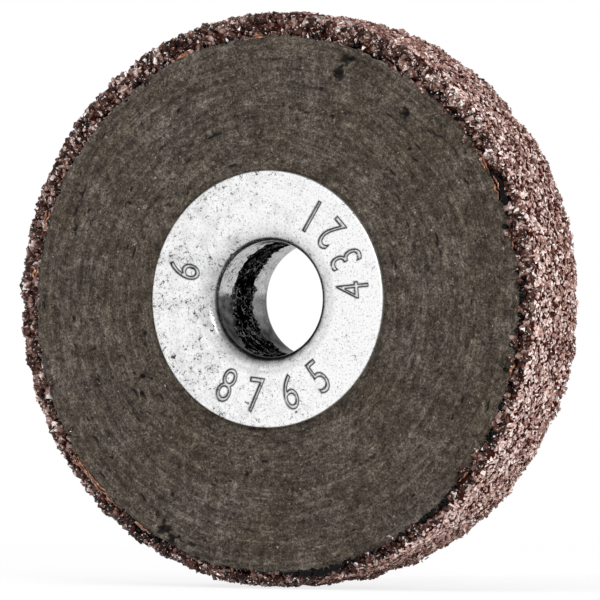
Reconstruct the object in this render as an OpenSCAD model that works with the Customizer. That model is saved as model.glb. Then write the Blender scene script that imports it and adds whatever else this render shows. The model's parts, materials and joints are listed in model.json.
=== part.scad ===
// Felt polishing wheel with an abrasive-coated rim and two pressed-metal flanges.
// The wheel turns about Y. Its front face looks towards -Y, and the origin is the centre of the bore.

/* [Wheel] */
// Diameter over the tips of the abrasive grains
wheel_d = 50; // [44:0.5:70]
// Thickness of the felt body, face to face
felt_w = 10; // [8:0.5:20]
// Depth of the abrasive coat, from its glue to the grain tips
coat_depth = 1.7; // [1.2:0.1:4]
// How far each side of the abrasive coat stands back from the felt face
coat_setback = 0.2; // [0.05:0.05:0.6]
// Rounding radius of the coat's two shoulders
shoulder_r = 0.9; // [0.3:0.1:0.9]
// Thickness of the black glue coat between the felt and the abrasive
rim_glue_t = 0.2; // [0.1:0.05:0.8]
// Spacing of the coarse grains that stand proud on the rim
grain_pitch = 2.5; // [1.8:0.1:4]
// Height of a coarse grain's tip above the rim between the grains
grain_proud = 0.3; // [0.1:0.05:0.3]

/* [Bore and flanges] */
// Diameter of the bore that takes the arbor
bore_d = 10; // [6:0.1:13]
// Outside diameter of each flange
flange_d = 22.2; // [19:0.2:26]
// Thickness of the sheet metal that the flanges are drawn from
flange_t = 0.5; // [0.3:0.05:0.8]
// Length of each drawn neck, from the flange's outer face to the neck's end
neck_len = 4; // [2.5:0.1:4.4]
// Radius of the drawn mouth, where the flange turns into its neck
mouth_r = 1.2; // [1:0.1:1.8]
// Rounding radius of the flange's outer edge
flange_edge_r = 0.25; // [0.05:0.05:0.28]

/* [Hub glue] */
// Thickness of the glue film between a flange and the felt
flange_glue_t = 0.1; // [0.05:0.01:0.2]
// How far the glue film stops short of the flange's edge
flange_glue_inset = 0.3; // [0.1:0.1:1]
// How far the glue band between the two necks stands back from the bore
bore_glue_recess = 0.3; // [0.1:0.05:0.4]

/* [Facing rings] */
// Spacing of the concentric rings that facing left in the felt
ring_pitch = 1.4; // [0.8:0.1:3]
// Width of one ring groove at the face
ring_w = 0.3; // [0.1:0.05:0.6]
// Depth of one ring groove
ring_depth = 0.12; // [0.05:0.01:0.4]

/* [Glue runs] */
// Height of a dried glue run above the felt face
run_h = 0.22; // [0.1:0.02:0.4]
// Width of a glue run, across the felt's edge
run_w = 0.5; // [0.2:0.05:1]
// Distance from a glue run's outer side to the edge of the felt
run_inset = 0.1; // [0:0.05:0.5]

/* [Hidden] */
$fn = 96;

// Radii, counted outwards from the axle
bore_r = bore_d / 2;
neck_r = bore_r + flange_t;
felt_bore_r = neck_r + flange_glue_t;
flange_r = flange_d / 2;
wheel_r = wheel_d / 2;
coat_bed_r = wheel_r - coat_depth;
felt_r = coat_bed_r - rim_glue_t;
rim_r = wheel_r - grain_proud;
shoulder_at = rim_r - shoulder_r;

// Heights above the wheel's middle plane, counted outwards along the axle
felt_face = felt_w / 2;
flange_seat = felt_face + flange_glue_t;
flange_face = flange_seat + flange_t;
neck_end = flange_face - neck_len;
coat_face = felt_face - coat_setback;
rim_h = coat_face - shoulder_r;

// A coarse grain is a cube that stands on one corner, half as wide as the coat is deep
grain_w = coat_depth / 2;
grain_corner = grain_w * sqrt(3) / 2;
grain_row_pitch = grain_pitch * sqrt(3) / 2;
grain_rows = 1 + floor(2 * rim_h / grain_row_pitch);
grains_in_row = floor(PI * wheel_d / grain_pitch);
// Turn about its own radius from one grain to the next, so that no two neighbours look alike
grain_turn = 137.5;

// The drawn mouth, its glue and the felt's edge under it are arcs about one centre
bend_r = bore_r + mouth_r;
bend_h = flange_face - mouth_r;

// Facing rings lie between the flange and the felt's edge, the last at least half a spacing inside it
ring_count = floor((felt_r - flange_r) / ring_pitch - 0.5);

// Glue runs as [angle where a run starts, angle that it covers], anticlockwise seen from their own side
front_runs = [
    [10, 3], [21, 4], [27, 5], [91, 3], [110, 3], [160, 4],
    [171, 4], [216, 14], [236, 4], [319, 3], [342, 4]
];
rear_runs = [
    [15, 4], [48, 9], [92, 3], [140, 6], [176, 3], [203, 10], [262, 4], [291, 3], [330, 7]
];

// Places a body of revolution on the axle, with its own +Z towards the front
module on_axle() {
    rotate([90, 0, 0]) children();
}

// The same, turned to the rear
module on_axle_rear() {
    rotate([-90, 0, 0]) children();
}

// A rectangle between two radii and two heights
module section(r_in, r_out, h_low, h_high) {
    translate([r_in, h_low]) square([r_out - r_in, h_high - h_low]);
}

// The quarter of a disc about the mouth's bend centre that faces the bore
module bend_quarter(r) {
    translate([bend_r, bend_h]) intersection() {
        circle(r);
        translate([-r, 0]) square(r);
    }
}

// A layer that follows the drawn flange: out along the plate, round the bend and down the neck
module drawn_layer(outer_bend_r, thickness, h_end, r_end) {
    plate_top = bend_h + outer_bend_r;
    neck_inner = bend_r - outer_bend_r;
    section(bend_r, r_end, plate_top - thickness, plate_top);
    section(neck_inner, neck_inner + thickness, h_end, bend_h);
    difference() {
        bend_quarter(outer_bend_r);
        translate([bend_r, bend_h]) circle(outer_bend_r - thickness);
    }
}

// The felt's half section above the middle plane, with its edge rounded to go under the drawn mouth
module felt_half_section() {
    edge_r = mouth_r - flange_t - flange_glue_t;
    difference() {
        union() {
            section(bend_r, felt_r, 0, felt_face);
            section(felt_bore_r, bend_r, 0, bend_h);
            bend_quarter(edge_r);
        }
        for (i = [1 : ring_count])
            translate([flange_r + i * ring_pitch, felt_face])
                polygon([[-ring_w / 2, 0], [0, -ring_depth], [ring_w / 2, 0]]);
    }
}

module felt_body() {
    color("#4b453d") on_axle() rotate_extrude() {
        felt_half_section();
        mirror([0, 1]) felt_half_section();
    }
}

module rim_glue_coat() {
    color("#17100d") on_axle() rotate_extrude()
        section(felt_r, coat_bed_r, -coat_face, coat_face);
}

// One coarse grain with its tip on the X axis, out at the wheel's radius
module coarse_grain(turn) {
    translate([wheel_r - grain_corner, 0, 0])
        rotate([turn, 0, 0])
            rotate([0, atan(1 / sqrt(2)), 0])
                rotate([0, 0, -45]) cube(grain_w, center = true);
}

// The coarse grains on the rim, in rows that are set half a spacing from each other
module coarse_grains() {
    for (row = [0 : grain_rows - 1])
        for (i = [0 : grains_in_row - 1])
            rotate([0, 0, 360 * (i + row / 2) / grains_in_row])
                translate([0, 0, (row - (grain_rows - 1) / 2) * grain_row_pitch])
                    coarse_grain(grain_turn * (i + row));
}

module abrasive_coat() {
    color("#7a5a54") on_axle() {
        rotate_extrude() {
            section(coat_bed_r, shoulder_at, -coat_face, coat_face);
            section(shoulder_at, rim_r, -rim_h, rim_h);
            for (side = [-1, 1])
                intersection() {
                    translate([shoulder_at, side * rim_h]) circle(shoulder_r);
                    section(shoulder_at, rim_r, -coat_face, coat_face);
                }
        }
        coarse_grains();
    }
}

// One pressed flange with its drawn neck and its rounded outer edge
module flange() {
    plate_end = flange_r - flange_edge_r;
    rotate_extrude() {
        drawn_layer(mouth_r, flange_t, neck_end, plate_end);
        section(plate_end, flange_r, flange_seat, flange_face - flange_edge_r);
        intersection() {
            translate([plate_end, flange_face - flange_edge_r]) circle(flange_edge_r);
            section(plate_end, flange_r, flange_seat, flange_face);
        }
    }
}

module front_flange() {
    color("#d4d5d6") on_axle() flange();
}

module rear_flange() {
    color("#d4d5d6") on_axle_rear() flange();
}

// The glue film that beds one flange on the felt
module flange_glue() {
    rotate_extrude()
        drawn_layer(mouth_r - flange_t, flange_glue_t, neck_end, flange_r - flange_glue_inset);
}

module front_flange_glue() {
    color("#1c1613") on_axle() flange_glue();
}

module rear_flange_glue() {
    color("#1c1613") on_axle_rear() flange_glue();
}

module bore_glue_band() {
    color("#0f0c0b") on_axle() rotate_extrude()
        section(bore_r + bore_glue_recess, felt_bore_r, -neck_end, neck_end);
}

// Dried glue runs along the edge of one felt face, each an arc with a rounded top and a flat foot
module glue_runs(runs) {
    run_mid_r = felt_r - run_inset - run_w / 2;
    top_r = (run_h * run_h + run_w * run_w / 4) / (2 * run_h);
    for (run = runs)
        rotate([0, 0, run[0]]) rotate_extrude(angle = run[1])
            intersection() {
                translate([run_mid_r, felt_face + run_h - top_r]) circle(top_r);
                section(run_mid_r - run_w, run_mid_r + run_w, felt_face, felt_face + run_h);
            }
}

module front_glue_runs() {
    color("#9a5526") on_axle() glue_runs(front_runs);
}

module rear_glue_runs() {
    color("#9a5526") on_axle_rear() glue_runs(rear_runs);
}

felt_body();
rim_glue_coat();
abrasive_coat();
front_flange();
rear_flange();
front_flange_glue();
rear_flange_glue();
bore_glue_band();
front_glue_runs();
rear_glue_runs();
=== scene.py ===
"""Looks of a felt polishing wheel: a felt disc, a rim of coarse grain and two pressed flanges."""
import json
import math
import random

import bmesh
import bpy
from mathutils import Matrix, Vector, noise
from mathutils.bvhtree import BVHTree


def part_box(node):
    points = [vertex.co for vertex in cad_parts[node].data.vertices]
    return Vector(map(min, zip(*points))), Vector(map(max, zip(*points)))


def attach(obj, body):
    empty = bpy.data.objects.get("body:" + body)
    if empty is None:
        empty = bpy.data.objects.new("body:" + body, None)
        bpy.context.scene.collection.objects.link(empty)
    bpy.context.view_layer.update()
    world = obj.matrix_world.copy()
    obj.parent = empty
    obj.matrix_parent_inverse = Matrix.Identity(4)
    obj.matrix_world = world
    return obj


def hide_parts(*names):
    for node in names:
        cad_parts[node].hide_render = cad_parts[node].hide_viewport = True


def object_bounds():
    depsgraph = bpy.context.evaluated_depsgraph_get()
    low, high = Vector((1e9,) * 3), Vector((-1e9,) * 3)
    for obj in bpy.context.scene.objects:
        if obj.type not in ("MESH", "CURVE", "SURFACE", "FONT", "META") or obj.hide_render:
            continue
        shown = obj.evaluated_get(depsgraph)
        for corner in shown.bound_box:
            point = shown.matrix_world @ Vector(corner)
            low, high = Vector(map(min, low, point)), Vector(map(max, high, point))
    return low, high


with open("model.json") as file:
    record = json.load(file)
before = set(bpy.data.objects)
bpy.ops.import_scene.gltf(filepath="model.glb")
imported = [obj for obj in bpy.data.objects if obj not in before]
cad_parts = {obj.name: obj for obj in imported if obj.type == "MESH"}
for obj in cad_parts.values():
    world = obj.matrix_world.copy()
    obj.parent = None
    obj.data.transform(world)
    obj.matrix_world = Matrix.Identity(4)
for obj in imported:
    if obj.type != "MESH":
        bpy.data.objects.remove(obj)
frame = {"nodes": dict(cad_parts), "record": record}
cad_low, cad_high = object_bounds()

MM = 0.001
FRONT, REAR = -1, 1
# Points that are closer than this are one point, in metres
MERGE_GAP = 1e-7
# Steps round the axle for the pieces that are as wide as the wheel
ROUND_STEPS = 640

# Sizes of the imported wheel, in metres. Heights are counted outwards from its middle plane.
FELT_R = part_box("felt_body")[1].x
FELT_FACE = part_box("felt_body")[1].y
BED_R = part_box("rim_glue_coat")[1].x
COAT_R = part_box("abrasive_coat")[1].x
COAT_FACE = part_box("abrasive_coat")[1].y
FLANGE_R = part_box("front_flange")[1].x
FLANGE_FACE = -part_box("front_flange")[0].y
NECK_END = -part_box("front_flange")[1].y
BORE_R = next(m for m in frame["record"]["mounts"] if m["name"] == "bore")["dims"]["r_mm"] * MM

# The drawn sheet and its glue, the coat's rounding and the felt's rings, as the solids have them.
SHEET_T = 0.5 * MM
MOUTH_R = 1.2 * MM
FLANGE_EDGE_R = 0.25 * MM
FLANGE_GLUE_T = 0.1 * MM
SHOULDER_R = 0.9 * MM
RING_PITCH = 1.4 * MM
RING_DEPTH = 0.12 * MM

# The felt sits low and to the right in its coat, so the grain shows widest at the top left.
FELT_SHIFT_RIGHT = 0.32 * MM
FELT_SHIFT_DOWN = 0.41 * MM

# Glue runs along the felt's edge: angle where one starts and angle that it covers, in degrees,
# anticlockwise seen from their own side.
FRONT_RUNS = [
    (10, 3), (21, 4), (27, 5), (91, 3), (110, 3), (160, 4),
    (171, 4), (216, 14), (236, 4), (319, 3), (342, 4),
]
REAR_RUNS = [(15, 4), (48, 9), (92, 3), (140, 6), (176, 3), (203, 10), (262, 4), (291, 3), (330, 7)]

# Plain index numbers punched in the front flange, each at its angle, with its head towards the bore.
INDEX_ANGLES = (58, 42, 24, 5, 307, 286, 263, 243, 162)
NUMERAL_SIZE = 4.4 * MM
NUMERAL_WIDTH = 0.72
STAMP_DEPTH = 0.13 * MM


def linear(colour):
    """A linear colour from an sRGB hex value."""
    channels = (int(colour[i : i + 2], 16) / 255 for i in (1, 3, 5))
    return [c / 12.92 if c <= 0.04045 else ((c + 0.055) / 1.055) ** 2.4 for c in channels] + [1.0]


def connect(tree, node, inputs):
    """Sets a node's inputs. An input is a value, or another node's output to link from."""
    for key, value in inputs.items():
        if isinstance(value, bpy.types.NodeSocket):
            tree.links.new(value, node.inputs[key])
        else:
            node.inputs[key].default_value = value


def add(tree, kind, inputs=None, **settings):
    """Adds a node with its settings and its inputs."""
    made = tree.nodes.new(kind)
    for name, value in settings.items():
        setattr(made, name, value)
    connect(tree, made, inputs or {})
    return made


def new_material(name):
    """The node tree of a new material, its shader and the point on the object in millimetres."""
    material = bpy.data.materials.new(name)
    material.use_nodes = True
    tree = material.node_tree
    shader = tree.nodes["Principled BSDF"]
    place = add(tree, "ShaderNodeTexCoord")
    point = add(tree, "ShaderNodeVectorMath", {0: place.outputs["Object"], 3: 1 / MM}, operation="SCALE")
    return tree, shader, point.outputs[0]


def ramp(tree, factor, stops):
    """A colour ramp through (position, hex colour) stops."""
    made = add(tree, "ShaderNodeValToRGB", {0: factor})
    elements = made.color_ramp.elements
    while len(elements) < len(stops):
        elements.new(1.0)
    for element, (position, colour) in zip(elements, stops):
        element.position = position
        element.color = linear(colour)
    return made.outputs[0]


def mixed(tree, factor, first, second, blend="MIX"):
    """Two colours mixed."""
    inputs = {0: factor, 6: first, 7: second}
    return add(tree, "ShaderNodeMix", inputs, data_type="RGBA", blend_type=blend).outputs[2]


def contours(tree, level, core, width):
    """1 on the lines along which a noise has its middle value, and 0 from a width away."""
    off = add(tree, "ShaderNodeMath", {0: level, 1: 0.5}, operation="SUBTRACT").outputs[0]
    off = add(tree, "ShaderNodeMath", {0: off}, operation="ABSOLUTE").outputs[0]
    return add(tree, "ShaderNodeMapRange", {0: off, 1: core, 2: width, 3: 1.0, 4: 0.0}).outputs[0]


def spun(profile, steps, side):
    """A closed outline of (radius, height) points, turned all the way round the axle.

    A sixteenth of the turn is spun and then doubled four times, because one long spin is slow.
    """
    doublings = 4
    sectors = 2**doublings
    bm = bmesh.new()
    verts = [bm.verts.new((r, side * h, 0)) for r, h in profile]
    edges = [bm.edges.new(pair) for pair in zip(verts, verts[1:] + verts[:1])]
    turn = math.tau / sectors
    axle = {"cent": (0, 0, 0), "axis": (0, 1, 0)}
    bmesh.ops.spin(bm, geom=verts + edges, angle=turn, steps=steps // sectors, **axle)
    for _ in range(doublings):
        copied = bmesh.ops.duplicate(bm, geom=bm.verts[:] + bm.edges[:] + bm.faces[:])["geom"]
        moved = [g for g in copied if isinstance(g, bmesh.types.BMVert)]
        bmesh.ops.rotate(bm, verts=moved, cent=(0, 0, 0), matrix=Matrix.Rotation(turn, 3, "Y"))
        turn *= 2
    bmesh.ops.remove_doubles(bm, verts=bm.verts, dist=MERGE_GAP)
    bmesh.ops.recalc_face_normals(bm, faces=bm.faces)
    return bm


def arc(r, h, radius, start, end, steps):
    """Points of an arc about (r, h), from one angle to another in degrees, ends included."""
    turn = [math.radians(start + (end - start) * i / steps) for i in range(steps + 1)]
    return [(r + radius * math.cos(a), h + radius * math.sin(a)) for a in turn]


def stretch(start, end, spacing):
    """Points from one (radius, height) to another, about a spacing apart, without the last."""
    count = max(1, round(math.dist(start, end) / spacing))
    return [tuple(a + (b - a) * i / count for a, b in zip(start, end)) for i in range(count)]


def new_object(name, data):
    """A new object in the scene."""
    made = bpy.data.objects.new(name, data)
    bpy.context.scene.collection.objects.link(made)
    return made


def piece(name, bm, material, replaced=(), smooth=True):
    """Turns a mesh into a finished piece of the wheel, in the material of that name."""
    mesh = bpy.data.meshes.new(name)
    bm.to_mesh(mesh)
    bm.free()
    mesh.materials.append(bpy.data.materials[material])
    mesh.polygons.foreach_set("use_smooth", [smooth] * len(mesh.polygons))
    made = new_object(name, mesh)
    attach(made, "root")
    if replaced:
        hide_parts(*replaced)


def meshed(curve):
    """The mesh of a curve or of text."""
    laid = new_object(curve.name, curve)
    mesh = bpy.data.meshes.new_from_object(laid.evaluated_get(bpy.context.evaluated_depsgraph_get()))
    bpy.data.objects.remove(laid)
    bm = bmesh.new()
    bm.from_mesh(mesh)
    bpy.data.meshes.remove(mesh)
    return bm


def threads(paths, sides):
    """A mesh of round threads. Each path is a list of (point, radius) along one thread."""
    curve = bpy.data.curves.new("threads", "CURVE")
    curve.dimensions = "3D"
    curve.bevel_depth = 1 * MM
    curve.bevel_resolution = sides
    curve.use_fill_caps = True
    for path in paths:
        spline = curve.splines.new("POLY")
        spline.points.add(len(path) - 1)
        for knot, (spot, radius) in zip(spline.points, path):
            knot.co = (*spot, 1)
            knot.radius = radius / MM
    return meshed(curve)


def polar(co):
    """Radius and angle of a point about the axle."""
    return math.hypot(co.x, co.z), math.atan2(co.z, co.x)


def at(r, angle, y):
    """The point at a radius and an angle about the axle."""
    return Vector((r * math.cos(angle), y, r * math.sin(angle)))


def step(low, high, value):
    """A smooth step from 0 at low to 1 at high."""
    t = min(1.0, max(0.0, (value - low) / (high - low)))
    return t * t * (3 - 2 * t)


def felt_edge_r(angle):
    """Radius of the felt's edge, which is off centre in its coat and was cut a little unevenly."""
    turn = Vector((math.cos(angle), math.sin(angle), 0))
    uneven = 0.1 * noise.noise(turn * 7) + 0.16 * noise.noise(turn * 24) + 0.18 * noise.noise(turn * 60)
    return FELT_R + FELT_SHIFT_RIGHT * turn.x - FELT_SHIFT_DOWN * turn.y + uneven * MM


# Materials


def felt_material():
    """Hard pressed wool felt, dark and matt. Facing drew its fibres round the axle into streaks."""
    tree, shader, point = new_material("pressed_wool_felt")
    flat = add(tree, "ShaderNodeVectorMath", {0: point, 1: (1, 0, 1)}, operation="MULTIPLY").outputs[0]
    radius = add(tree, "ShaderNodeVectorMath", {0: flat}, operation="LENGTH").outputs[1]
    around = add(tree, "ShaderNodeVectorMath", {0: flat}, operation="NORMALIZE").outputs[0]
    # Drawn fibres about 0.8 mm long and 0.15 mm wide, and rings about 6 mm long and 0.4 mm wide
    streaks = []
    for turns, rows in ((22.0, 6.5), (3.0, 2.4)):
        turned = add(tree, "ShaderNodeVectorMath", {0: around, 3: turns}, operation="SCALE").outputs[0]
        across = add(tree, "ShaderNodeMath", {0: radius, 1: rows}, operation="MULTIPLY").outputs[0]
        lift = add(tree, "ShaderNodeCombineXYZ", {"Y": across}).outputs[0]
        drawn = add(tree, "ShaderNodeVectorMath", {0: turned, 1: lift}, operation="ADD").outputs[0]
        streak = {"Vector": drawn, "Scale": 1.0, "Detail": 3.0, "Roughness": 0.6}
        streaks.append(add(tree, "ShaderNodeTexNoise", streak).outputs[0])
    # Fibre ends and tufts about 0.2 mm across, and matted lumps about 0.5 mm and 1.3 mm across
    matted = []
    for scale in (5.8, 2.0, 0.75):
        mat = {"Vector": point, "Scale": scale, "Detail": 3.0, "Roughness": 0.7, "Distortion": 0.4}
        matted.append(add(tree, "ShaderNodeTexNoise", mat).outputs[0])
    tufts, _, lumps = matted
    weights = (0.2, 0.3, 0.62, 0.46, 0.26)
    tone = 0.0
    for layer, weight in zip(streaks + matted, weights):
        share = {0: layer, 1: weight / sum(weights), 2: tone}
        tone = add(tree, "ShaderNodeMath", share, operation="MULTIPLY_ADD").outputs[0]
    # Single fibres, and short cracks between the mats: contour lines of a noise, in some places only
    lines = []
    for scale, start, full in ((2.6, 0.47, 0.56), (1.1, 0.53, 0.43)):
        veins = {"Vector": point, "Scale": scale, "Detail": 3.0, "Roughness": 0.6, "Distortion": 1.0}
        line = contours(tree, add(tree, "ShaderNodeTexNoise", veins).outputs[0], 0.003, 0.02)
        place = add(tree, "ShaderNodeMapRange", {0: lumps, 1: start, 2: full, 4: 0.75}).outputs[0]
        lines.append(add(tree, "ShaderNodeMath", {0: line, 1: place}, operation="MULTIPLY").outputs[0])
    fibre, crack = lines
    tone = add(tree, "ShaderNodeMath", {0: fibre, 1: 0.05, 2: tone}, operation="MULTIPLY_ADD").outputs[0]
    stops = [
        (0.42, "#1b140e"), (0.477, "#3a322b"), (0.52, "#4e463e"), (0.57, "#6a625a"), (0.625, "#8a837b"),
    ]
    colour = ramp(tree, tone, stops)
    # Faint yellowing in patches about 5 mm across
    patches = add(tree, "ShaderNodeTexNoise", {"Vector": point, "Scale": 0.18, "Detail": 3.0})
    patch = ramp(tree, patches.outputs[0], [(0.35, "#e6e2d6"), (0.65, "#ffffff")])
    colour = mixed(tree, 1.0, colour, patch, "MULTIPLY")
    # Shade is painted along the short cracks between the mats
    colour = mixed(tree, crack, colour, linear("#1c150e"))
    # Painted shade in pinholes, and pale fibre ends, about 0.15 mm across: the lowest and the highest spots
    # of one noise
    spots = add(tree, "ShaderNodeTexNoise", {"Vector": point, "Scale": 3.2, "Detail": 1.0}).outputs[0]
    for start, full, shade in ((0.38, 0.3, "#0e0906"), (0.725, 0.785, "#a29a8f")):
        spot = add(tree, "ShaderNodeMapRange", {0: spots, 1: start, 2: full, 4: 0.8}).outputs[0]
        colour = mixed(tree, spot, colour, linear(shade))
    # Shade is painted dark in the deepest places of the faces, the hollows, cuts and worn edge, with ragged
    # borders
    hollow = add(tree, "ShaderNodeAttribute", attribute_name="hollow").outputs["Fac"]
    hollow_shade = add(tree, "ShaderNodeMath", {0: tufts, 1: 1.4, 2: hollow}, operation="MULTIPLY_ADD").outputs[0]
    hollow_shade = add(tree, "ShaderNodeMapRange", {0: hollow_shade, 1: 1.0, 2: 1.4, 4: 0.92}).outputs[0]
    bump = add(tree, "ShaderNodeBump", {"Height": tone, "Strength": 0.8, "Distance": 0.15 * MM})
    finish = {
        "Base Color": mixed(tree, hollow_shade, colour, linear("#0e0a07")),
        "Normal": bump.outputs[0],
        "Roughness": 0.95,
        "Specular IOR Level": 0.12,
        "Sheen Weight": 0.1,
        "Sheen Roughness": 0.6,
    }
    connect(tree, shader, finish)


def fibre_material():
    """Loose wool hairs on the felt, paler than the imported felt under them."""
    tree, shader, point = new_material("loose_wool_fibre")
    patches = add(tree, "ShaderNodeTexNoise", {"Vector": point, "Scale": 0.9, "Detail": 2.0})
    colour = ramp(tree, patches.outputs[0], [(0.3, "#3d3731"), (0.5, "#58514a"), (0.68, "#807972")])
    connect(tree, shader, {"Base Color": colour, "Roughness": 0.8, "Specular IOR Level": 0.2})


def grain_material(name, stops, roughness, coat, mottling, painted_glints):
    """Brown fused alumina, crushed to sharp glassy chips. Each facet has a tone of its own."""
    tree, shader, point = new_material(name)
    tone = add(tree, "ShaderNodeAttribute", attribute_name="tone").outputs["Fac"]
    # Mottling about 0.15 mm across within a chip
    flecks = {"Vector": point, "Scale": 7.0, "Detail": 3.0, "Roughness": 0.65}
    mottle = add(tree, "ShaderNodeTexNoise", flecks).outputs[0]
    shift = {0: mottle, 1: mottling, 2: tone}
    shift = add(tree, "ShaderNodeMath", shift, operation="MULTIPLY_ADD").outputs[0]
    level = add(tree, "ShaderNodeMath", {0: shift, 1: mottling / 2}, operation="SUBTRACT").outputs[0]
    # Painted glints: pale spots about 0.15 mm across mixed into the colour, as highlights where a crystal
    # face would catch the light
    painted_glint_noise = add(tree, "ShaderNodeTexNoise", {"Vector": point, "Scale": 4.8, "Detail": 1.0}).outputs[0]
    painted_glint = add(tree, "ShaderNodeMapRange", {0: painted_glint_noise, 1: painted_glints, 2: painted_glints + 0.1, 4: 0.8}).outputs[0]
    relief = {"Height": mottle, "Strength": 0.4 * mottling, "Distance": 0.1 * MM}
    finish = {
        "Base Color": mixed(tree, painted_glint, ramp(tree, level, stops), linear(stops[-1][1])),
        "Normal": add(tree, "ShaderNodeBump", relief).outputs[0],
        "Roughness": roughness,
        "Specular IOR Level": 0.06,
        "Coat Weight": coat,
        "Coat Roughness": 0.1,
    }
    connect(tree, shader, finish)


def glue_material(name, dark, pale, roughness, shine):
    """Hardened glue: smooth and glossy, wrinkled as it dried, with highlights painted pale along the crests
    of the wrinkles.
    """
    tree, shader, point = new_material(name)
    # Wrinkles about 0.4 mm apart: contour lines of a noise
    folds = {"Vector": point, "Scale": 1.7, "Detail": 3.0, "Roughness": 0.6}
    skin = add(tree, "ShaderNodeTexNoise", folds).outputs[0]
    # Painted highlights: pale lines along the crests, in patches only
    crest_highlight = contours(tree, skin, 0.0, 0.022)
    patches = add(tree, "ShaderNodeTexNoise", {"Vector": point, "Scale": 0.9, "Detail": 2.0}).outputs[0]
    patch = add(tree, "ShaderNodeMapRange", {0: patches, 1: 0.42, 2: 0.68}).outputs[0]
    crest_highlight = add(tree, "ShaderNodeMath", {0: crest_highlight, 1: patch}, operation="MULTIPLY").outputs[0]
    bump = add(tree, "ShaderNodeBump", {"Height": skin, "Strength": 0.8, "Distance": 0.3 * MM})
    finish = {
        "Base Color": mixed(tree, crest_highlight, linear(dark), linear(pale)),
        "Normal": bump.outputs[0],
        "Roughness": roughness,
        "Specular IOR Level": shine,
    }
    connect(tree, shader, finish)


def amber_material():
    """Dried hide glue: orange brown and see-through at its thin ends."""
    tree, shader, point = new_material("dried_hide_glue")
    swirl = add(tree, "ShaderNodeTexNoise", {"Vector": point, "Scale": 2.2, "Detail": 4.0})
    finish = {
        "Base Color": ramp(
            tree, swirl.outputs[0], [(0.32, "#381b0d"), (0.52, "#784426"), (0.72, "#c9996a")]
        ),
        "Roughness": 0.2,
        "Subsurface Weight": 0.2,
        "Subsurface Scale": 0.3 * MM,
        "Coat Weight": 0.8,
    }
    connect(tree, shader, finish)


def flange_material():
    """Bright drawn aluminium sheet, satin from pressing, with fine dark pits, painted shade and dirt in its
    stamping, and painted shade round its mouth and in its neck.
    """
    tree, shader, point = new_material("drawn_aluminium_sheet")
    # Ragged dents 0.1 to 0.5 mm across, in loose swarms about 3 mm across, most of them on the left
    dents = {"Vector": point, "Scale": 2.3, "Detail": 5.0, "Roughness": 0.85, "Distortion": 0.6}
    pits = add(tree, "ShaderNodeTexNoise", dents).outputs[0]
    swarm = add(tree, "ShaderNodeTexNoise", {"Vector": point, "Scale": 0.4, "Detail": 2.0}).outputs[0]
    side = add(tree, "ShaderNodeSeparateXYZ", {0: point}).outputs["X"]
    left = add(tree, "ShaderNodeMapRange", {0: side, 1: -11.0, 2: 11.0, 3: 0.05, 4: -0.02}).outputs[0]
    level = add(tree, "ShaderNodeMath", {0: swarm, 1: 0.18, 2: pits}, operation="MULTIPLY_ADD").outputs[0]
    level = add(tree, "ShaderNodeMath", {0: level, 1: left}, operation="ADD").outputs[0]
    pit = add(tree, "ShaderNodeMapRange", {0: level, 1: 0.7, 2: 0.735}).outputs[0]
    # Handling dulls the sheet in fine smudges, some under half a millimetre across
    smudges = {"Vector": point, "Scale": 5.0, "Detail": 5.0, "Roughness": 0.8}
    marks = add(tree, "ShaderNodeTexNoise", smudges).outputs[0]
    sheet = ramp(tree, marks, [(0.36, "#808081"), (0.455, "#fdfdfd")])
    # Tarnish in ragged patches about 1.5 mm across, again most on the left
    patches = {"Vector": point, "Scale": 0.8, "Detail": 6.0, "Roughness": 0.75}
    tarnish = add(tree, "ShaderNodeTexNoise", patches).outputs[0]
    level = add(tree, "ShaderNodeMath", {0: left, 1: 2.0, 2: tarnish}, operation="MULTIPLY_ADD").outputs[0]
    stain = ramp(tree, level, [(0.5, "#ffffff"), (0.8, "#dadadb")])
    sheet = mixed(tree, 1.0, sheet, stain, "MULTIPLY")
    pitted = mixed(tree, pit, sheet, linear("#2f2f30"))
    # Drawing polished the neck, and half as much the mouth
    drawn = add(tree, "ShaderNodeAttribute", attribute_name="drawn").outputs["Fac"]
    gloss = add(tree, "ShaderNodeMapRange", {0: marks, 1: 0.3, 2: 0.7, 3: 0.28, 4: 0.46}).outputs[0]
    depth = add(tree, "ShaderNodeMath", {0: 1.0, 1: pit}, operation="SUBTRACT").outputs[0]
    bump = add(tree, "ShaderNodeBump", {"Height": depth, "Strength": 0.5, "Distance": 0.05 * MM})
    # Painted shade and dirt: a darker colour and a weaker reflection
    shade_and_dirt = add(tree, "ShaderNodeAttribute", attribute_name="shade_and_dirt").outputs["Fac"]
    finish = {
        "Base Color": mixed(tree, shade_and_dirt, pitted, linear("#1b1a1a")),
        "Specular Tint": mixed(tree, shade_and_dirt, linear("#ffffff"), linear("#c4c4c4")),
        "Normal": bump.outputs[0],
        "Roughness": add(tree, "ShaderNodeMapRange", {0: drawn, 3: gloss, 4: 0.13}).outputs[0],
        "Metallic": 1.0,
    }
    connect(tree, shader, finish)


# Felt disc

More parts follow.
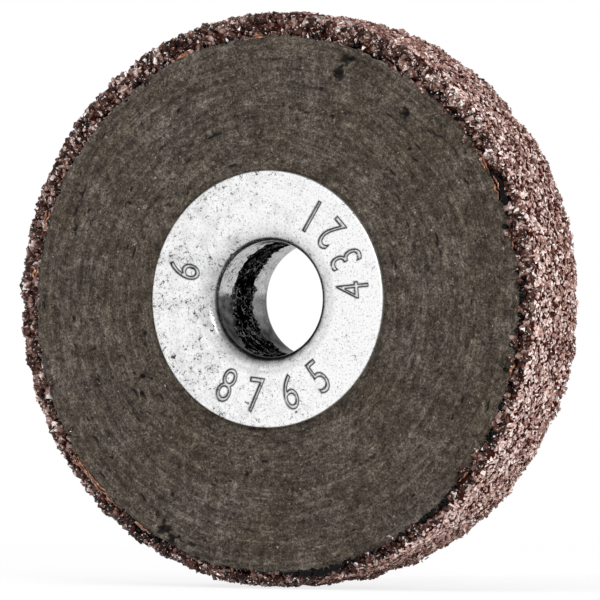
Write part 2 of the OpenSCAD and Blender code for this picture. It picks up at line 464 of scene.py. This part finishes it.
# Hollows in the faces: angle in degrees, radius, width and depth in millimetres
FELT_PITS = [
    (71.0, 20.6, 0.7, 0.5), (70.9, 21.3, 0.3, 0.3), (70.5, 22.0, 0.5, 0.4), (69.0, 22.2, 0.4, 0.35),
    (50.4, 20.5, 0.45, 0.45), (68.9, 16.8, 0.3, 0.25), (67.5, 17.6, 0.25, 0.2), (43.7, 18.5, 0.3, 0.25),
    (208.6, 14.0, 0.35, 0.35), (213.2, 14.8, 0.35, 0.35), (206.0, 14.6, 0.2, 0.2), (211.0, 13.4, 0.25, 0.2),
    (184.5, 19.3, 0.4, 0.2), (194.0, 17.7, 0.3, 0.25), (221.8, 20.6, 0.3, 0.25), (241.0, 19.2, 0.3, 0.25),
    (242.4, 22.4, 0.55, 0.4), (245.6, 22.6, 0.5, 0.4), (242.0, 21.6, 0.4, 0.25), (239.9, 21.4, 0.35, 0.25),
    (243.9, 22.0, 0.4, 0.3), (247.0, 22.2, 0.3, 0.25), (296.0, 19.0, 0.5, 0.16), (118.0, 18.8, 0.3, 0.25),
    (148.0, 16.0, 0.35, 0.2), (339.0, 17.0, 0.28, 0.2), (262.0, 15.2, 0.3, 0.2),
]


def felt_cuts(count, rng):
    """Short cuts torn along the rings by facing: angle, and radius, half length, slope and depth in mm."""
    inner, outer = FLANGE_R / MM + 0.7, FELT_R / MM - 0.7
    cuts = []
    for _ in range(count):
        r = math.sqrt(rng.uniform(inner**2, outer**2))
        angle = rng.uniform(-math.pi, math.pi)
        half = rng.uniform(0.25, 0.9)
        slope = rng.gauss(0, 0.2)
        depth = rng.uniform(0.1, 0.26)
        cuts.append((angle, r, half, slope, depth))
    return cuts


FELT_CUTS = felt_cuts(120, random.Random(11))
CUT_WIDTH = 0.12


def felt_relief(r, angle, side):
    """Height of a felt face over its flat, in metres: rings, drawn fibres, lumps, hollows and cuts."""
    seed = 40.0 * side
    turn = Vector((math.cos(angle), math.sin(angle), 0))
    ring = round((r - FLANGE_R) / RING_PITCH)
    wander = 0.12 * MM * noise.noise(turn * 3 + Vector((0, 0, seed + 5 * ring)))
    off_ring = (r - FLANGE_R - ring * RING_PITCH + wander) / (0.16 * MM)
    strength = step(-0.35, 0.35, noise.noise(turn * 4 + Vector((0, 0, seed + 9 * ring + 3))))
    height = -RING_DEPTH * strength * math.exp(-off_ring * off_ring)
    drawn = turn * 7 + Vector((0, 0, r / (0.42 * MM) + seed))
    height += 0.05 * MM * noise.fractal(drawn, 1.0, 2.0, 3)
    height += 0.035 * MM * noise.fractal(turn * (r / (0.9 * MM)) + Vector((0, 0, seed)), 1.0, 2.0, 3)
    for pit_angle, pit_r, width, depth in FELT_PITS:
        if side == REAR:
            # The rear has the same hollows, mirrored and turned
            pit_angle = 200 - pit_angle
        gap = (at(r, angle, 0) - at(pit_r * MM, math.radians(pit_angle), 0)).length / MM
        if gap < 2 * width:
            ragged = gap * (1 + 0.7 * noise.noise(Vector((r, angle * r, 0)) / (0.35 * MM)))
            height -= depth * MM * (1 - step(0.25 * width, width, ragged))
    for cut_angle, cut_r, half, slope, depth in FELT_CUTS:
        along = math.remainder(side * angle - cut_angle, math.tau) * cut_r / half
        if abs(along) < 1:
            across = (r / MM - cut_r - slope * along * half) / CUT_WIDTH
            if abs(across) < 2:
                height -= depth * MM * (1 - along * along) * math.exp(-across * across)
    worn = step(FELT_R - 0.35 * MM, FELT_R, r)
    return height - worn * worn * (0.14 + 0.1 * noise.noise(turn * 30)) * MM


def felt_disc():
    """The felt body, with both faces worked up from a turned blank."""
    bore = BORE_R + SHEET_T + FLANGE_GLUE_T
    lip = MOUTH_R - SHEET_T - FLANGE_GLUE_T
    shown = FLANGE_R - 0.3 * MM
    face = [(bore, FELT_FACE - lip), (bore + lip, FELT_FACE), (shown - 1 * MM, FELT_FACE)]
    face += stretch((shown, FELT_FACE), (FELT_R, FELT_FACE), 0.19 * MM)
    face += [(FELT_R, FELT_FACE), (FELT_R, FELT_FACE - 0.5 * MM)]
    bm = spun(face + [(r, -h) for r, h in reversed(face)], ROUND_STEPS, FRONT)
    hollow = bm.verts.layers.float.new("hollow")
    for v in bm.verts:
        r, angle = polar(v.co)
        low = (felt_edge_r(angle) - FELT_R) * step(14 * MM, FELT_R, r)
        if abs(v.co.y) > FELT_FACE - 0.1 * MM and r > shown - 0.1 * MM:
            side = math.copysign(1, v.co.y)
            relief = felt_relief(r, angle, side)
            v.co.y += side * relief
            # How deep the face lies here, for the shade that the felt's material paints in its hollows
            v[hollow] = step(0.06 * MM, 0.24 * MM, -relief)
        v.co += at(low, angle, 0)
    piece("felt_disc", bm, "pressed_wool_felt", ["felt_body"])


def felt_fuzz(side, rng):
    """Loose fibres on one face: frayed out of its edge, or lying where facing drew them round the axle."""
    frayed, lying = 700, 600
    fibre_r = 0.022 * MM
    paths = []
    for i in range(frayed + lying):
        r = math.sqrt(rng.uniform((FLANGE_R + 0.3 * MM) ** 2, (FELT_R - 0.5 * MM) ** 2))
        angle = rng.uniform(0, math.tau)
        heading = angle + math.pi / 2 + rng.gauss(0, 0.7)
        if i < frayed:
            # Out of the felt's edge
            r = felt_edge_r(angle) - rng.uniform(0.05, 0.3) * MM
            heading = angle + rng.gauss(0, 0.8)
        bend = rng.gauss(0, 0.3)
        length = rng.uniform(0.15, 0.5) * MM
        lift = rng.uniform(0.0, 0.03) * MM
        spot = at(r, angle, 0)
        path = []
        for taper in (0.7, 1.0, 0.5):
            rr, aa = polar(spot)
            y = side * (FELT_FACE + felt_relief(rr, aa, side) + lift)
            path.append(((spot.x, y, spot.z), taper * fibre_r))
            spot = spot + at(length / 2, heading, 0)
            heading += bend
        paths.append(path)
    name = "front_fibres" if side == FRONT else "rear_fibres"
    piece(name, threads(paths, 0), "loose_wool_fibre")


# Rim: glue, grain and glue runs


def coat_length(inner):
    """Length of the coat's outline, from an inner radius on its front over the rim to its rear."""
    return 2 * (COAT_R - SHOULDER_R - inner) + SHOULDER_R * math.pi + 2 * (COAT_FACE - SHOULDER_R)


def coat_point(distance, inner):
    """Radius, height and outward direction at a distance along that outline."""
    whole = coat_length(inner)
    if distance > whole / 2:
        r, h, out_r, out_h = coat_point(whole - distance, inner)
        return r, -h, out_r, -out_h
    flat = COAT_R - SHOULDER_R - inner
    bend = SHOULDER_R * math.pi / 2
    if distance < flat:
        return inner + distance, COAT_FACE, 0.0, 1.0
    if distance < flat + bend:
        a = math.pi / 2 - (distance - flat) / SHOULDER_R
        out_r, out_h = math.cos(a), math.sin(a)
        centre_r, centre_h = COAT_R - SHOULDER_R, COAT_FACE - SHOULDER_R
        return centre_r + SHOULDER_R * out_r, centre_h + SHOULDER_R * out_h, out_r, out_h
    return COAT_R, COAT_FACE - SHOULDER_R - (distance - flat - bend), 1.0, 0.0


# Where the black glue swelled out between the felt and the grain: middle and half width in degrees,
# and how far
GLUE_SWELLS = [
    (23, 4.5, 1.6), (1, 6.5, 1.1), (-27, 6, 1), (-48, 8, 1), (-78, 8, 1.2), (45, 6, 0.6), (238, 5, 0.8),
]


def swell(angle):
    """How far the black glue swelled out at an angle."""
    degrees = math.degrees(angle)
    most = 0.0
    for middle, width, height in GLUE_SWELLS:
        off = math.remainder(degrees - middle, 360) / width
        most = max(most, height * math.exp(-off * off))
    return most * (0.75 + 0.5 * noise.noise(at(1, angle, 0) * 25))


def sunk(angle, h):
    """How far the grain lies below the coat's outline: bumps and dips, and a thicker coat on the right."""
    spot = at(COAT_R, angle, h) / MM + Vector((0, 30, 0))
    bumps = 0.15 * noise.noise(spot / 3.5) + 0.3 * noise.noise(spot / 1.2) + 0.14 * noise.noise(spot / 0.6)
    thicker = 0.3 * step(0.1, 1.0, math.cos(angle))
    return (min(0.6, max(0.0, 0.2 - bumps)) - thicker) * MM


def grain_bed():
    """The resin that holds the grain, lumpy, below the grain tips."""
    inner = BED_R - 1 * MM
    count = 60
    outline = [coat_point(coat_length(inner) * i / count, inner)[:2] for i in range(count + 1)]
    bm = spun(outline, ROUND_STEPS, FRONT)
    bm.normal_update()
    for v in bm.verts:
        r, angle = polar(v.co)
        if r > inner + 0.1 * MM:
            lump = 0.12 * noise.fractal(v.co / (0.3 * MM), 1.0, 2.0, 2)
            v.co -= v.normal * (sunk(angle, -v.co.y) + (0.38 - lump) * MM)
    piece("grain_bed", bm, "dark_brown_resin", ["abrasive_coat"])


def scatter(rng):
    """A random vector, as likely in one direction as in another."""
    return Vector((rng.gauss(0, 1), rng.gauss(0, 1), rng.gauss(0, 1)))


def chip(bm, centre, size, squeezes, corners, tone, mixture, rng, layer):
    """One crushed grain: the hull of a few points on a ball that is squeezed along some axes."""
    verts = []
    for _ in range(corners):
        ray = scatter(rng).normalized()
        for axis, squeeze in squeezes:
            ray -= axis * (ray.dot(axis) * squeeze)
        spot = centre + ray * size * rng.uniform(0.42, 0.58)
        verts.append(bm.verts.new(spot))
    made = bmesh.ops.convex_hull(bm, input=verts)
    spare = set(made["geom_interior"] + made["geom_unused"])
    spare = [g for g in spare if isinstance(g, bmesh.types.BMVert)]
    bmesh.ops.delete(bm, geom=spare, context="VERTS")
    # A few facets in a thousand are painted white as glints
    painted_glints = 0.008
    for g in made["geom"]:
        if isinstance(g, bmesh.types.BMFace):
            g[layer] = 1.0 if rng.random() < painted_glints else min(1.0, max(0.0, rng.gauss(tone, mixture)))


def coat_sides(angle):
    """How far an angle belongs to the coat's right side, its foot, its left side and its upper right."""
    right = step(-0.1, 0.75, math.cos(angle + math.radians(15)))
    foot = step(0.7, 1.0, -math.sin(angle))
    left = step(0.2, 0.9, -math.cos(angle))
    upper = step(0.75, 0.97, math.cos(angle - math.radians(30)))
    return right, foot, left, upper


def grain_pieces(sectors):
    """Joins the sectors of each zone of the coat into one piece."""
    whole = {}
    for (zone, _), sector in sectors.items():
        part = bpy.data.meshes.new("sector")
        sector.to_mesh(part)
        sector.free()
        whole.setdefault(zone, bmesh.new()).from_mesh(part)
        bpy.data.meshes.remove(part)
    for zone, bm in whole.items():
        bmesh.ops.recalc_face_normals(bm, faces=bm.faces)
        if zone == "rim_grain":
            material = "broken_alumina_grain"
        elif "drowned" in zone:
            material = "hardened_black_glue"
        else:
            material = "glued_alumina_grain"
        piece(zone, bm, material, smooth=zone != "rim_grain")


def grain_coat(rng):
    """The grain on the rim and its two shoulders, in sectors that keep each mesh small while it grows.

    The shoulders' coarse grain, rough in its glue, gives way to finer, flattened grain on the rim. It
    reaches farther round on the left, and is paler there and at the upper right. The rim is painted
    paler on the right and towards the front as light from the right, painted darker at its foot as
    shade, and more mixed at the upper right.
    """
    sector_count = 36
    pitch = 0.325 * MM
    columns = round(math.tau * COAT_R / pitch)
    sectors = {}
    for column in range(columns):
        middle = math.tau * column / columns
        drowned = swell(middle)
        inner = felt_edge_r(middle) + (0.4 * drowned - 0.05) * MM
        length = coat_length(inner)
        right, foot, left, upper = coat_sides(middle)
        shoulder = COAT_R - SHOULDER_R - inner + (1.35 - 0.6 * right) * SHOULDER_R
        count = round(length / pitch)
        for i in range(count):
            along = length * (i + rng.uniform(0.0, 1.0)) / count
            angle = math.tau * (column + rng.uniform(-0.5, 0.5)) / columns
            r, h, out_r, out_h = coat_point(along, inner)
            out = at(out_r, angle, -out_h)
            deep = sunk(angle, h)
            clump = noise.noise(at(r, angle, h) / (1.3 * MM))
            edge = min(along, length - along)
            if edge > shoulder:
                zone = "rim_grain"
                size = min(0.8, rng.lognormvariate(-0.82, 0.3)) * MM
                # Painted light and shade: paler on the right and towards the front there, darker at the
                # foot
                mean = 0.43 + 0.27 * right - 0.2 * foot - 0.05 * upper
                tone = rng.gauss(mean, 0.15 + 0.05 * upper) + 0.2 * clump
                tone += right * (0.02 * h / MM - 0.015)
                # Worn flat, and drawn out the way that the wheel turns
                corners, mixture, worn = 8, 0.11, rng.uniform(0.4, 0.7)
                squeezes = [((out + 0.3 * scatter(rng)).normalized(), worn), (Vector((0, 1, 0)), 0.3)]
                depth = deep + (0.42 * (1 - worn) * size + abs(rng.gauss(0, 0.05)) * MM)
            elif (i + column) % 2 and rng.random() < 0.95 - 0.35 * right - 0.25 * upper:
                # The coarse grain needs more room, so most of every second place stays free
                continue
            else:
                zone = "front_shoulder_grain" if along < shoulder else "rear_shoulder_grain"
                size = min(1.3, rng.lognormvariate(-0.08 - 0.15 * right, 0.25)) * MM
                lighter = 0.15 * upper * step(0.3 * MM, 1.0 * MM, edge)
                # Painted shade darkens the shoulder at its foot
                mean = 0.38 - 0.06 * foot + 0.05 * left + lighter
                tone = min(0.8, rng.gauss(mean, 0.2) + 0.15 * clump)
                corners, mixture = 12, 0.12
                squeezes = [(scatter(rng).normalized(), rng.uniform(0.0, 0.4))]
                # Beside the felt some grains stand high and lean over its edge, and others are drowned
                # in black glue
                close = 1 - step(0.0, 0.6 * MM, edge)
                lean = close * rng.uniform(0.0, 0.5) * MM
                r -= 0.7 * lean
                depth = deep + 0.42 * size - lean
                if rng.random() < close * (0.2 + 0.8 * drowned):
                    zone = "front_drowned_grain" if along < shoulder else "rear_drowned_grain"
                    size *= 0.8
            centre = at(r, angle, -h) - out * depth
            sector = sectors.setdefault((zone, int(angle / math.tau * sector_count)), bmesh.new())
            layer = sector.faces.layers.float.get("tone") or sector.faces.layers.float.new("tone")
            chip(sector, centre, size, squeezes, corners, tone, mixture, rng, layer)
    grain_pieces(sectors)


def rim_glue(side):
    """Black glue squeezed out between the felt and the grain: a thin line, with lumps in places."""
    inner, outer, foot = -0.1 * MM, 0.5 * MM, FELT_FACE - 0.9 * MM
    crown_h = FELT_FACE - 0.2 * MM
    crown = arc(FELT_R + (inner + outer) / 2, crown_h, (outer - inner) / 2, 170, 10, 8)
    crown = [(r, crown_h + (h - crown_h) * 0.4) for r, h in crown]
    bm = spun([(FELT_R + inner, foot)] + crown + [(FELT_R + outer, foot)], ROUND_STEPS, side)
    for v in bm.verts:
        r, angle = polar(v.co)
        out = swell(angle)
        spread = 0.08 + 0.9 * out
        lump = noise.fractal(v.co / (0.4 * MM), 0.8, 2.0, 3)
        share = (r - FELT_R - inner) / (outer - inner)
        new_r = felt_edge_r(angle) + inner + share * ((outer - inner) * spread - inner)
        new_r += 0.1 * lump * MM
        if abs(v.co.y) > foot + 0.1 * MM:
            v.co.y += side * (0.2 * lump - 0.4 + 0.3 * out) * MM
        v.co = at(new_r, angle, v.co.y)
    replaced = ["rim_glue_coat"] if side == FRONT else []
    name = "front_rim_glue" if side == FRONT else "rear_rim_glue"
    piece(name, bm, "hardened_black_glue", replaced)


def glue_runs(name, runs, side, rng, replaced):
    """Dried beads and threads of glue along the edge of one face, thick in the middle, thin at the ends."""
    knots = 25
    paths = []
    for start, cover in runs:
        for strand in range(3 if cover > 6 else 2):
            width = rng.uniform(0.07, 0.14) * MM / (1 + 0.2 * strand) * (1.15 if cover > 6 else 1)
            off = rng.uniform(-0.05, 0.2) + 0.2 * strand
            first = start + rng.uniform(-0.2, 0.5) * cover * min(1, strand)
            path = []
            for i in range(knots):
                share = i / (knots - 1)
                degrees = first + cover * share * (1.15 if strand == 0 else 0.8)
                angle = math.radians(degrees if side == FRONT else -degrees)
                spot = at(FELT_R, angle, 0)
                lump = 1 + 0.6 * noise.noise(spot / (0.45 * MM) + Vector((0, 9 * strand, 0)))
                thick = width * lump * max(0.15, math.sin(math.pi * share)) ** 0.7
                sway = noise.noise(spot / (1.5 * MM) + Vector((0, 5 * strand, 0)))
                r = felt_edge_r(angle) + (off + 0.2 * sway) * MM
                y = side * (FELT_FACE - 0.08 * MM + 0.12 * MM * sway)
                path.append((at(r, angle, y), thick))
            paths.append(path)
    piece(name, threads(paths, 2), "dried_hide_glue", replaced)


# Flanges and bore


def numeral(text, angle):
    """Search trees for one index number on the front flange: its face, and the wall along its outline."""
    curve = bpy.data.curves.new("numeral", "FONT")
    curve.body = text
    curve.align_x = "CENTER"
    curve.align_y = "CENTER"
    curve.size = NUMERAL_SIZE
    bm = meshed(curve)
    bmesh.ops.remove_doubles(bm, verts=bm.verts, dist=MERGE_GAP)
    middle = (BORE_R + MOUTH_R + FLANGE_R) / 2 - 0.15 * MM
    head = at(-1, angle, 0)
    right = Vector((head.z, 0, -head.x))
    for v in bm.verts:
        v.co = at(middle, angle, 0) + right * v.co.x * NUMERAL_WIDTH + head * v.co.y
    face = BVHTree.FromBMesh(bm)
    rim = [e for e in bm.edges if e.is_boundary]
    wall = bmesh.ops.extrude_edge_only(bm, edges=rim)["geom"]
    top = [g for g in wall if isinstance(g, bmesh.types.BMVert)]
    bmesh.ops.translate(bm, verts=top, vec=(0, 1 * MM, 0))
    bmesh.ops.delete(bm, geom=[f for f in bm.faces if abs(f.normal.y) > 0.5], context="FACES")
    outline = BVHTree.FromBMesh(bm)
    bm.free()
    return angle, face, outline


def stamp(co, numerals):
    """How far a point of the flange face is sunk by the index numbers, and how much painted shade and dirt
    lies there.
    """
    r, angle = polar(co)
    if not BORE_R + MOUTH_R < r < FLANGE_R - FLANGE_EDGE_R:
        return 0.0, 0.0
    spot = Vector((co.x, 0, co.z))
    away, _, face, outline = min(
        (abs(math.remainder(angle - numeral[0], math.tau)), *numeral) for numeral in numerals
    )
    if away * r > 2 * MM:
        return 0.0, 0.0
    inside = face.find_nearest(spot)[3] < MERGE_GAP
    gap = outline.find_nearest(spot)[3] / MM
    off = -gap if inside else gap
    # The punch pushed up a low burr. Shade is painted along the foot of the wall, and dirt lies inside the
    # strokes
    burr = 0.02 * MM * math.exp(-(((off - 0.1) / 0.06) ** 2))
    shade_and_dirt = 1.1 * math.exp(-(((off + 0.03) / 0.075) ** 2)) + (0.14 if inside else 0)
    return STAMP_DEPTH * (1 - step(-0.12, 0.03, off)) - burr, shade_and_dirt


def flange(side):
    """A pressed flange with its drawn neck. The front one carries the index numbers."""
    seat = FLANGE_FACE - SHEET_T
    bend_r, bend_h = BORE_R + MOUTH_R, FLANGE_FACE - MOUTH_R
    edge_r, edge_h = FLANGE_R - FLANGE_EDGE_R, FLANGE_FACE - FLANGE_EDGE_R
    # The front face is fine enough to take the index numbers
    fine, steps = (0.062 * MM, 832) if side == FRONT else (0.4 * MM, 240)
    outline = stretch((BORE_R, NECK_END), (BORE_R, bend_h), 0.35 * MM)
    outline += arc(bend_r, bend_h, MOUTH_R, 180, 90, 18)[:-1]
    outline += stretch((bend_r, FLANGE_FACE), (edge_r, FLANGE_FACE), fine)
    outline += arc(edge_r, edge_h, FLANGE_EDGE_R, 90, 0, 4)
    outline += [(FLANGE_R, seat), (bend_r, seat)]
    outline += arc(bend_r, bend_h, MOUTH_R - SHEET_T, 90, 180, 3)[1:] + [(BORE_R + SHEET_T, NECK_END)]
    bm = spun(outline, steps, side)
    shade_and_dirt_layer = bm.verts.layers.float.new("shade_and_dirt")
    drawn_layer = bm.verts.layers.float.new("drawn")
    # Shade painted in the ring round the mouth is darkest at its foot, a little to the right
    foot_angle = math.radians(285)
    numerals = []
    if side == FRONT:
        for i, degrees in enumerate(INDEX_ANGLES):
            numerals.append(numeral(str(i + 1), math.radians(degrees)))
    for v in bm.verts:
        r, angle = polar(v.co)
        h = abs(v.co.y)
        foot = math.cos(angle - foot_angle)
        if h > FLANGE_FACE - MERGE_GAP and numerals:
            pressed, shade_and_dirt = stamp(v.co, numerals)
            v.co.y -= side * pressed
            # Painted shade in the ring round the mouth
            ring = 0.1 + 0.06 * (1 + foot)
            v[shade_and_dirt_layer] = min(1.0, shade_and_dirt + ring * (1 - step(bend_r, bend_r + 0.6 * MM, r)))
        elif r < bend_r - MERGE_GAP and h > NECK_END - MERGE_GAP:
            # Shade is painted on the neck in the bore, darker on its lower half and darkest at the bottom,
            # and on the mouth.
            # Drawing polished the neck, and half as much the mouth.
            patchy = noise.fractal(v.co / (0.9 * MM), 1.0, 2.0, 3)
            low = 1 - step(0.1 * MM, 0.7 * MM, v.co.z + 0.3 * MM * patchy)
            upper_shade, lower_shade = (0.44, 0.92) if side == FRONT else (0.5, 0.76)
            lower_shade += 0.9 * (1 - lower_shade) * step(0.5 * MM, 3.5 * MM, -v.co.z)
            inside = 1 - step(bend_h + 0.1 * MM, bend_h + 0.6 * MM, h)
            near = 1 - step(BORE_R + 0.1 * MM, bend_r, r)
            mouth_shade = 0.15 * (1 + patchy) + near * (0.5 + 0.3 * foot)
            shade_and_dirt = inside * (upper_shade + (lower_shade - upper_shade) * low + 0.1 * patchy) + mouth_shade * (1 - inside)
            v[shade_and_dirt_layer] = min(1.0 if h < bend_h else 0.94, max(0.0, shade_and_dirt))
            satin = 0.5 * step(bend_h - 0.2 * MM, bend_h + 0.6 * MM, h)
            v[drawn_layer] = 1 - max(satin, step(bend_h + 0.7 * MM, FLANGE_FACE, h))
    bmesh.ops.recalc_face_normals(bm, faces=bm.faces)
    name = "front_stamped_flange" if side == FRONT else "rear_plain_flange"
    node = "front_flange" if side == FRONT else "rear_flange"
    piece(name, bm, "drawn_aluminium_sheet", [node])


def bore_glue():
    """Black glue that oozed into the bore between the necks and ran over them in ragged tongues."""
    outer = BORE_R + SHEET_T
    steps, rows = 416, 48
    # On the bore side the blank's heights are shares of the glue's reach, from -1 to 1
    across = stretch((BORE_R, 1), (BORE_R, -1), 2 / rows) + [(BORE_R, -1)]
    bm = spun(across + [(outer, -NECK_END), (outer, NECK_END)], steps, FRONT)
    for v in bm.verts:
        r, angle = polar(v.co)
        if r > BORE_R + 0.2 * MM:
            continue
        turn = Vector((math.cos(angle), math.sin(angle), 0))
        share = v.co.y
        # It ran about as far over both necks, and down the front one's lower side to the mouth
        end = 2.0 * MM
        if share < 0:
            below = (math.degrees(angle) + 115) / 30
            end = 1.95 * MM + 2.3 * MM * math.exp(-below * below)
        seed = Vector((0, 0, 7 if share > 0 else 2))
        ragged = 0.6 * noise.noise(turn * 4 + seed) + 0.7 * noise.noise(turn * 9 + seed)
        ragged += 0.6 * noise.noise(turn * 24 + seed) + 0.3 * noise.noise(turn * 50 + seed)
        y = share * max(NECK_END + 0.05 * MM, end + ragged * MM)
        lump = noise.fractal(Vector((BORE_R * angle, y, 0)) / (0.5 * MM), 0.9, 2.0, 3)
        proud = (0.06 + 0.05 * lump) * MM * (1 - step(0.93, 1.0, abs(share)))
        v.co = at(BORE_R - proud + 0.03 * MM * step(0.95, 1.0, abs(share)), angle, y)
    bmesh.ops.recalc_face_normals(bm, faces=bm.faces)
    piece("bore_glue", bm, "matt_black_glue", ["bore_glue_band"])


def build_wheel():
    """Makes every piece of the wheel."""
    rng = random.Random(7)
    felt_material()
    fibre_material()
    pale = [(0.05, "#43180e"), (0.3, "#69433a"), (0.5, "#966e64"), (0.72, "#c5a399"), (0.95, "#f6e6e0")]
    dark = [(0.1, "#140502"), (0.4, "#3d2018"), (0.62, "#74564d"), (0.82, "#ab938b"), (1.0, "#f2eeec")]
    grain_material("broken_alumina_grain", pale, 0.3, 0.0, 1.0, 0.66)
    grain_material("glued_alumina_grain", dark, 0.12, 0.15, 0.6, 0.64)
    glue_material("hardened_black_glue", "#030202", "#1e1b1a", 0.1, 0.12)
    glue_material("matt_black_glue", "#030303", "#dcdcdb", 0.4, 0.0)
    glue_material("dark_brown_resin", "#3c150b", "#643426", 0.3, 0.03)
    amber_material()
    flange_material()
    felt_disc()
    for side in (FRONT, REAR):
        felt_fuzz(side, rng)
        rim_glue(side)
        flange(side)
    grain_bed()
    grain_coat(rng)
    glue_runs("front_amber_runs", FRONT_RUNS, FRONT, rng, ["front_glue_runs"])
    glue_runs("rear_amber_runs", REAR_RUNS, REAR, rng, ["rear_glue_runs"])
    bore_glue()
    for node in ("front_flange_glue", "rear_flange_glue"):
        slots = frame["nodes"][node].data.materials
        slots.clear()
        slots.append(bpy.data.materials["hardened_black_glue"])


# Camera, light and floor

VIEW_AZIMUTH = math.radians(26.07)
VIEW_ELEVATION = math.radians(-0.73)
VIEW_DISTANCE = 478 * MM
FRAME_PX = 600
FOCAL_PX = 5493
CENTRE_PX = (294.3, 299.7)


def camera():
    """The photograph's view, with the wheel's centre where the photograph has it."""
    data = bpy.data.cameras.new("camera")
    data.sensor_width = 36.0
    data.lens = data.sensor_width * FOCAL_PX / FRAME_PX
    data.shift_x = (FRAME_PX / 2 - CENTRE_PX[0]) / FRAME_PX
    data.shift_y = (CENTRE_PX[1] - FRAME_PX / 2) / FRAME_PX
    data.clip_start = 0.01
    level = math.cos(VIEW_ELEVATION)
    back = Vector(
        (math.sin(VIEW_AZIMUTH) * level, -math.cos(VIEW_AZIMUTH) * level, math.sin(VIEW_ELEVATION))
    )
    made = new_object("camera", data)
    made.location = back * VIEW_DISTANCE
    made.rotation_euler = (-back).to_track_quat("-Z", "Y").to_euler()
    bpy.context.scene.camera = made


def lamp(name, place, size, share, mirrored):
    """A square light that faces the wheel. Its share is the brightness that it gives to white paper."""
    data = bpy.data.lights.new(name, "AREA")
    data.size = size
    data.energy = share * (math.pi * Vector(place).length) ** 2
    made = new_object(name, data)
    made.location = place
    made.rotation_euler = Vector(place).to_track_quat("Z", "Y").to_euler()
    made.visible_glossy = mirrored


def seen_white(tree):
    """1 for a ray that shows the background: seen by the camera, mirrored or let through."""
    path = add(tree, "ShaderNodeLightPath").outputs
    seen = {0: path["Is Camera Ray"], 1: path["Is Glossy Ray"]}
    seen = add(tree, "ShaderNodeMath", seen, operation="MAXIMUM").outputs[0]
    both = {0: seen, 1: path["Is Transmission Ray"]}
    return add(tree, "ShaderNodeMath", both, operation="MAXIMUM").outputs[0]


def studio():
    """White surroundings and soft light."""
    world = bpy.data.worlds.new("studio")
    bpy.context.scene.world = world
    world.use_nodes = True
    tree = world.node_tree
    fill = 0.5
    strength = add(tree, "ShaderNodeMapRange", {0: seen_white(tree), 3: fill, 4: 1.0}).outputs[0]
    connect(tree, tree.nodes["Background"], {"Color": linear("#ffffff"), "Strength": strength})

    # The other lamps would blot out the flanges' shading, so only one small flash shows as a glint
    lamp("right_softbox", (0.38, -0.22, 0.12), 0.25, 0.36, False)
    lamp("left_softbox", (-0.4, -0.22, 0.26), 0.3, 0.25, False)
    lamp("top_softbox", (0.05, -0.1, 0.5), 0.35, 0.25, False)
    lamp("right_flash", (0.3, -0.35, 0.2), 0.04, 0.2, True)
    lamp("left_flash", (-0.35, -0.3, 0.3), 0.04, 0.2, False)


def paper_floor():
    """A pale floor that keeps the wheel's shadow."""
    bm = bmesh.new()
    bmesh.ops.create_grid(bm, x_segments=8, y_segments=8, size=3.0)
    bmesh.ops.translate(bm, verts=bm.verts, vec=(0, 0, cad_low.z))
    mesh = bpy.data.meshes.new("floor")
    bm.to_mesh(mesh)
    bm.free()
    floor = new_object("floor", mesh)
    material = bpy.data.materials.new("white_paper")
    material.use_nodes = True
    tree = material.node_tree
    tree.nodes.remove(tree.nodes["Principled BSDF"])
    paper = add(tree, "ShaderNodeBsdfDiffuse", {"Color": linear("#ffffff")})
    glow = add(tree, "ShaderNodeEmission", {"Color": linear("#ffffff"), "Strength": 1.0})
    # The paper keeps its shading round the wheel's foot and fades into the white surroundings farther out
    place = add(tree, "ShaderNodeTexCoord").outputs["Object"]
    away = add(tree, "ShaderNodeVectorMath", {0: place}, operation="LENGTH").outputs[1]
    fade = add(tree, "ShaderNodeMapRange", {0: away, 1: 0.05, 2: 0.16, 3: 0.8, 4: 1.0}).outputs[0]
    share = add(tree, "ShaderNodeMath", {0: seen_white(tree), 1: fade}, operation="MULTIPLY")
    both = {0: share.outputs[0], 1: paper.outputs[0], 2: glow.outputs[0]}
    cover = add(tree, "ShaderNodeMixShader", both)
    connect(tree, tree.nodes["Material Output"], {"Surface": cover.outputs[0]})
    mesh.materials.append(material)


camera()
build_wheel()
studio()
paper_floor()
bpy.context.scene.view_settings.view_transform = "Standard"
